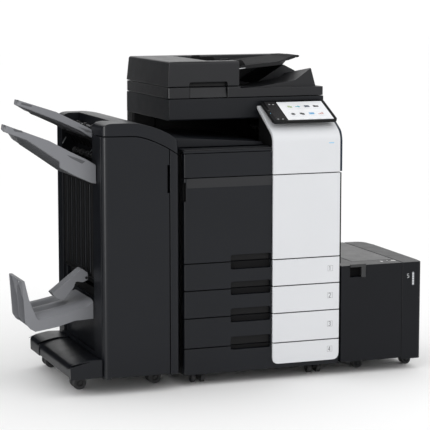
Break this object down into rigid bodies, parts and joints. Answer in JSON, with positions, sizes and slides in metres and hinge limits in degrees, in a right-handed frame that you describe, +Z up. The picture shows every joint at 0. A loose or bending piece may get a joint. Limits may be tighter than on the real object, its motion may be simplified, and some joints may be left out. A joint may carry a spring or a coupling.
{
  "type": "photocopier",
  "caption": "Floor-standing office photocopier with paper drawers, document feeder, tilting touch panel, staple and booklet finisher and large-capacity side feeder.",
  "frame": {"origin": "bottom centre of the whole machine's bounding box, on the floor under its casters", "axes": "+X to the machine's right (towards the side feeder), +Y to the back, +Z up; the front with the control panel faces -Y"},
  "size_m": [1.6138, 0.704, 1.1843],
  "materials": {
    "charcoal_plastic": "fine-grained moulded plastic",
    "black_plastic": "fine-grained moulded plastic",
    "white_plastic": "smooth moulded plastic",
    "tray_grey_plastic": "fine-grained moulded plastic",
    "dark_grey_plastic": "fine-grained moulded plastic",
    "plate_steel": "zinc-plated sheet",
    "tyre_rubber": "hard rubber tread",
    "screen_panel": "lit screen behind a hard coat",
    "document_glass": "clear float glass",
    "toner_yellow": "moulded plastic",
    "toner_magenta": "moulded plastic",
    "toner_cyan": "moulded plastic",
    "toner_black": "moulded plastic"
  },
  "bodies": {
    "main_unit": {"main_frame": "black_plastic", "rear_cover": "charcoal_plastic", "upper_front_cover": "charcoal_plastic", "white_upper_cover": "white_plastic", "output_tray": "charcoal_plastic", "relay_unit": "charcoal_plastic", "scanner_unit": "charcoal_plastic", "platen_glass": "document_glass", "toner_cartridge_yellow": "toner_yellow", "toner_cartridge_magenta": "toner_magenta", "toner_cartridge_cyan": "toner_cyan", "toner_cartridge_black": "toner_black"},
    "front_door": {"front_door": "charcoal_plastic", "front_door_white_panel": "white_plastic"},
    "drawer_1": {"drawer_1": "charcoal_plastic", "drawer_1_white_panel": "white_plastic"},
    "drawer_2": {"drawer_2": "charcoal_plastic", "drawer_2_white_panel": "white_plastic"},
    "drawer_3": {"drawer_3": "charcoal_plastic", "drawer_3_white_panel": "white_plastic"},
    "drawer_4": {"drawer_4": "charcoal_plastic", "drawer_4_white_panel": "white_plastic"},
    "right_door": {"right_door": "charcoal_plastic"},
    "bypass_tray": {"bypass_tray": "charcoal_plastic"},
    "control_panel": {"control_panel": "black_plastic", "touch_screen": "screen_panel"},
    "document_feeder": {"adf_base": "charcoal_plastic"},
    "feed_cover": {"adf_feed_cover": "charcoal_plastic"},
    "document_tray": {"adf_document_tray": "charcoal_plastic"},
    "guide_front": {"adf_guide_front": "black_plastic"},
    "guide_rear": {"adf_guide_rear": "black_plastic"},
    "finisher": {"finisher_frame": "charcoal_plastic", "finisher_top_cover": "charcoal_plastic", "finisher_upper_tray": "tray_grey_plastic", "finisher_base": "charcoal_plastic", "booklet_tray": "tray_grey_plastic"},
    "finisher_door": {"finisher_front_door": "charcoal_plastic"},
    "finisher_lower_tray": {"finisher_lower_tray": "tray_grey_plastic"},
    "booklet_flap": {"booklet_flap": "tray_grey_plastic"},
    "lct": {"lct_body": "charcoal_plastic", "lct_end_cover": "charcoal_plastic"},
    "lct_lid": {"lct_lid": "dark_grey_plastic"},
    "lct_lever": {"lct_release_lever": "dark_grey_plastic"},
    "lct_lift_plate": {"lct_lift_plate": "plate_steel"},
    "main_caster_front_left_leg": {"main_caster_front_left_leg": "black_plastic"},
    "main_caster_front_left_wheels": {"main_caster_front_left_wheels": "tyre_rubber"},
    "main_caster_front_right_leg": {"main_caster_front_right_leg": "black_plastic"},
    "main_caster_front_right_wheels": {"main_caster_front_right_wheels": "tyre_rubber"},
    "main_caster_rear_left_wheels": {"main_caster_rear_left_wheels": "tyre_rubber"},
    "main_caster_rear_right_wheels": {"main_caster_rear_right_wheels": "tyre_rubber"},
    "finisher_caster_front_left_leg": {"finisher_caster_front_left_leg": "black_plastic"},
    "finisher_caster_front_left_wheels": {"finisher_caster_front_left_wheels": "tyre_rubber"},
    "finisher_caster_front_right_leg": {"finisher_caster_front_right_leg": "black_plastic"},
    "finisher_caster_front_right_wheels": {"finisher_caster_front_right_wheels": "tyre_rubber"},
    "finisher_caster_rear_left_wheels": {"finisher_caster_rear_left_wheels": "tyre_rubber"},
    "finisher_caster_rear_right_wheels": {"finisher_caster_rear_right_wheels": "tyre_rubber"},
    "lct_wheel_front_left": {"lct_wheel_front_left": "tyre_rubber"},
    "lct_wheel_front_right": {"lct_wheel_front_right": "tyre_rubber"},
    "lct_wheel_rear_left": {"lct_wheel_rear_left": "tyre_rubber"},
    "lct_wheel_rear_right": {"lct_wheel_rear_right": "tyre_rubber"}
  },
  "joints": [
    {"name": "front_door_hinge", "type": "hinge", "parent": "main_unit", "child": "front_door", "pos_m": [0.14399, -0.329, 0.4565], "axis": [1, 0, 0], "range_deg": [0, 90]},
    {"name": "drawer_1_slide", "type": "slide", "parent": "main_unit", "child": "drawer_1", "axis": [0, -1, 0], "range_m": [0, 0.4]},
    {"name": "drawer_2_slide", "type": "slide", "parent": "main_unit", "child": "drawer_2", "axis": [0, -1, 0], "range_m": [0, 0.4]},
    {"name": "drawer_3_slide", "type": "slide", "parent": "main_unit", "child": "drawer_3", "axis": [0, -1, 0], "range_m": [0, 0.4]},
    {"name": "drawer_4_slide", "type": "slide", "parent": "main_unit", "child": "drawer_4", "axis": [0, -1, 0], "range_m": [0, 0.4]},
    {"name": "right_door_hinge", "type": "hinge", "parent": "main_unit", "child": "right_door", "pos_m": [0.45899, 0.277, 0.635], "axis": [0, 0, 1], "range_deg": [0, 85]},
    {"name": "bypass_tray_hinge", "type": "hinge", "parent": "right_door", "child": "bypass_tray", "pos_m": [0.46099, -0.011, 0.56], "axis": [0, 1, 0], "range_deg": [0, 70]},
    {"name": "control_panel_tilt", "type": "hinge", "parent": "main_unit", "child": "control_panel", "pos_m": [0.32399, -0.191, 1.0015], "axis": [1, 0, 0], "range_deg": [-12, 6]},
    {"name": "document_feeder_lift", "type": "hinge", "parent": "main_unit", "child": "document_feeder", "pos_m": [0.14799, 0.344, 1.042], "axis": [-1, 0, 0], "range_deg": [0, 60]},
    {"name": "feed_cover_hinge", "type": "hinge", "parent": "document_feeder", "child": "feed_cover", "pos_m": [-0.15901, 0.087, 1.085], "axis": [0, -1, 0], "range_deg": [0, 65]},
    {"name": "document_tray_hinge", "type": "hinge", "parent": "document_feeder", "child": "document_tray", "pos_m": [0.01599, 0.077, 1.137], "axis": [0, -1, 0], "range_deg": [0, 25]},
    {"name": "guide_front_slide", "type": "slide", "parent": "document_tray", "child": "guide_front", "axis": [0, 1, 0], "range_m": [0, 0.12]},
    {"name": "guide_rear_slide", "type": "slide", "parent": "document_tray", "child": "guide_rear", "axis": [0, 1, 0], "range_m": [-0.12, 0]},
    {"name": "finisher_slide", "type": "slide", "parent": "main_unit", "child": "finisher", "axis": [-1, 0, 0], "range_m": [0, 0.2]},
    {"name": "finisher_door_hinge", "type": "hinge", "parent": "finisher", "child": "finisher_door", "pos_m": [-0.46201, -0.346, 0.5], "axis": [0, 0, -1], "range_deg": [0, 110]},
    {"name": "finisher_lower_tray_slide", "type": "slide", "parent": "finisher", "child": "finisher_lower_tray", "axis": [0, 0, -1], "range_m": [0, 0.25]},
    {"name": "booklet_flap_hinge", "type": "hinge", "parent": "finisher", "child": "booklet_flap", "pos_m": [-0.47801, -0.142, 0.402], "axis": [0, 1, 0], "range_deg": [0, 25]},
    {"name": "lct_slide", "type": "slide", "parent": "main_unit", "child": "lct", "axis": [1, 0, 0], "range_m": [0, 0.2]},
    {"name": "lct_lid_hinge", "type": "hinge", "parent": "lct", "child": "lct_lid", "pos_m": [0.62999, 0.205, 0.415], "axis": [-1, 0, 0], "range_deg": [0, 70]},
    {"name": "lct_lever_hinge", "type": "hinge", "parent": "lct", "child": "lct_lever", "pos_m": [0.55099, -0.336, 0.416], "axis": [-1, 0, 0], "range_deg": [0, 15]},
    {"name": "lct_lift_plate_slide", "type": "slide", "parent": "lct", "child": "lct_lift_plate", "axis": [0, 0, 1], "range_m": [0, 0.3]},
    {"name": "main_caster_front_left_swivel", "type": "hinge", "parent": "main_unit", "child": "main_caster_front_left_leg", "pos_m": [-0.07901, -0.263, 0.019], "axis": [0, 0, 1], "continuous": true},
    {"name": "main_caster_front_left_roll", "type": "hinge", "parent": "main_caster_front_left_leg", "child": "main_caster_front_left_wheels", "pos_m": [-0.07901, -0.245, 0.019], "axis": [1, 0, 0], "continuous": true},
    {"name": "main_caster_front_right_swivel", "type": "hinge", "parent": "main_unit", "child": "main_caster_front_right_leg", "pos_m": [0.38599, -0.263, 0.019], "axis": [0, 0, 1], "continuous": true},
    {"name": "main_caster_front_right_roll", "type": "hinge", "parent": "main_caster_front_right_leg", "child": "main_caster_front_right_wheels", "pos_m": [0.38599, -0.245, 0.019], "axis": [1, 0, 0], "continuous": true},
    {"name": "main_caster_rear_left_roll", "type": "hinge", "parent": "main_unit", "child": "main_caster_rear_left_wheels", "pos_m": [-0.07901, 0.269, 0.019], "axis": [1, 0, 0], "continuous": true},
    {"name": "main_caster_rear_right_roll", "type": "hinge", "parent": "main_unit", "child": "main_caster_rear_right_wheels", "pos_m": [0.38599, 0.269, 0.019], "axis": [1, 0, 0], "continuous": true},
    {"name": "finisher_caster_front_left_swivel", "type": "hinge", "parent": "finisher", "child": "finisher_caster_front_left_leg", "pos_m": [-0.50301, -0.191, 0.025], "axis": [0, 0, 1], "continuous": true},
    {"name": "finisher_caster_front_left_roll", "type": "hinge", "parent": "finisher_caster_front_left_leg", "child": "finisher_caster_front_left_wheels", "pos_m": [-0.52101, -0.191, 0.025], "axis": [0, 1, 0], "continuous": true},
    {"name": "finisher_caster_front_right_swivel", "type": "hinge", "parent": "finisher", "child": "finisher_caster_front_right_leg", "pos_m": [-0.21601, -0.191, 0.025], "axis": [0, 0, 1], "continuous": true},
    {"name": "finisher_caster_front_right_roll", "type": "hinge", "parent": "finisher_caster_front_right_leg", "child": "finisher_caster_front_right_wheels", "pos_m": [-0.23401, -0.191, 0.025], "axis": [0, 1, 0], "continuous": true},
    {"name": "finisher_caster_rear_left_roll", "type": "hinge", "parent": "finisher", "child": "finisher_caster_rear_left_wheels", "pos_m": [-0.52101, 0.199, 0.025], "axis": [0, 1, 0], "continuous": true},
    {"name": "finisher_caster_rear_right_roll", "type": "hinge", "parent": "finisher", "child": "finisher_caster_rear_right_wheels", "pos_m": [-0.23401, 0.199, 0.025], "axis": [0, 1, 0], "continuous": true},
    {"name": "lct_wheel_front_left_roll", "type": "hinge", "parent": "lct", "child": "lct_wheel_front_left", "pos_m": [0.57499, -0.224, 0.019], "axis": [0, 1, 0], "continuous": true},
    {"name": "lct_wheel_front_right_roll", "type": "hinge", "parent": "lct", "child": "lct_wheel_front_right", "pos_m": [0.78199, -0.224, 0.019], "axis": [0, 1, 0], "continuous": true},
    {"name": "lct_wheel_rear_left_roll", "type": "hinge", "parent": "lct", "child": "lct_wheel_rear_left", "pos_m": [0.57499, 0.149, 0.019], "axis": [0, 1, 0], "continuous": true},
    {"name": "lct_wheel_rear_right_roll", "type": "hinge", "parent": "lct", "child": "lct_wheel_rear_right", "pos_m": [0.78199, 0.149, 0.019], "axis": [0, 1, 0], "continuous": true}
  ],
  "couplings": [
    {"joint": "guide_rear_slide", "follows": "guide_front_slide", "ratio": -1}
  ]
}
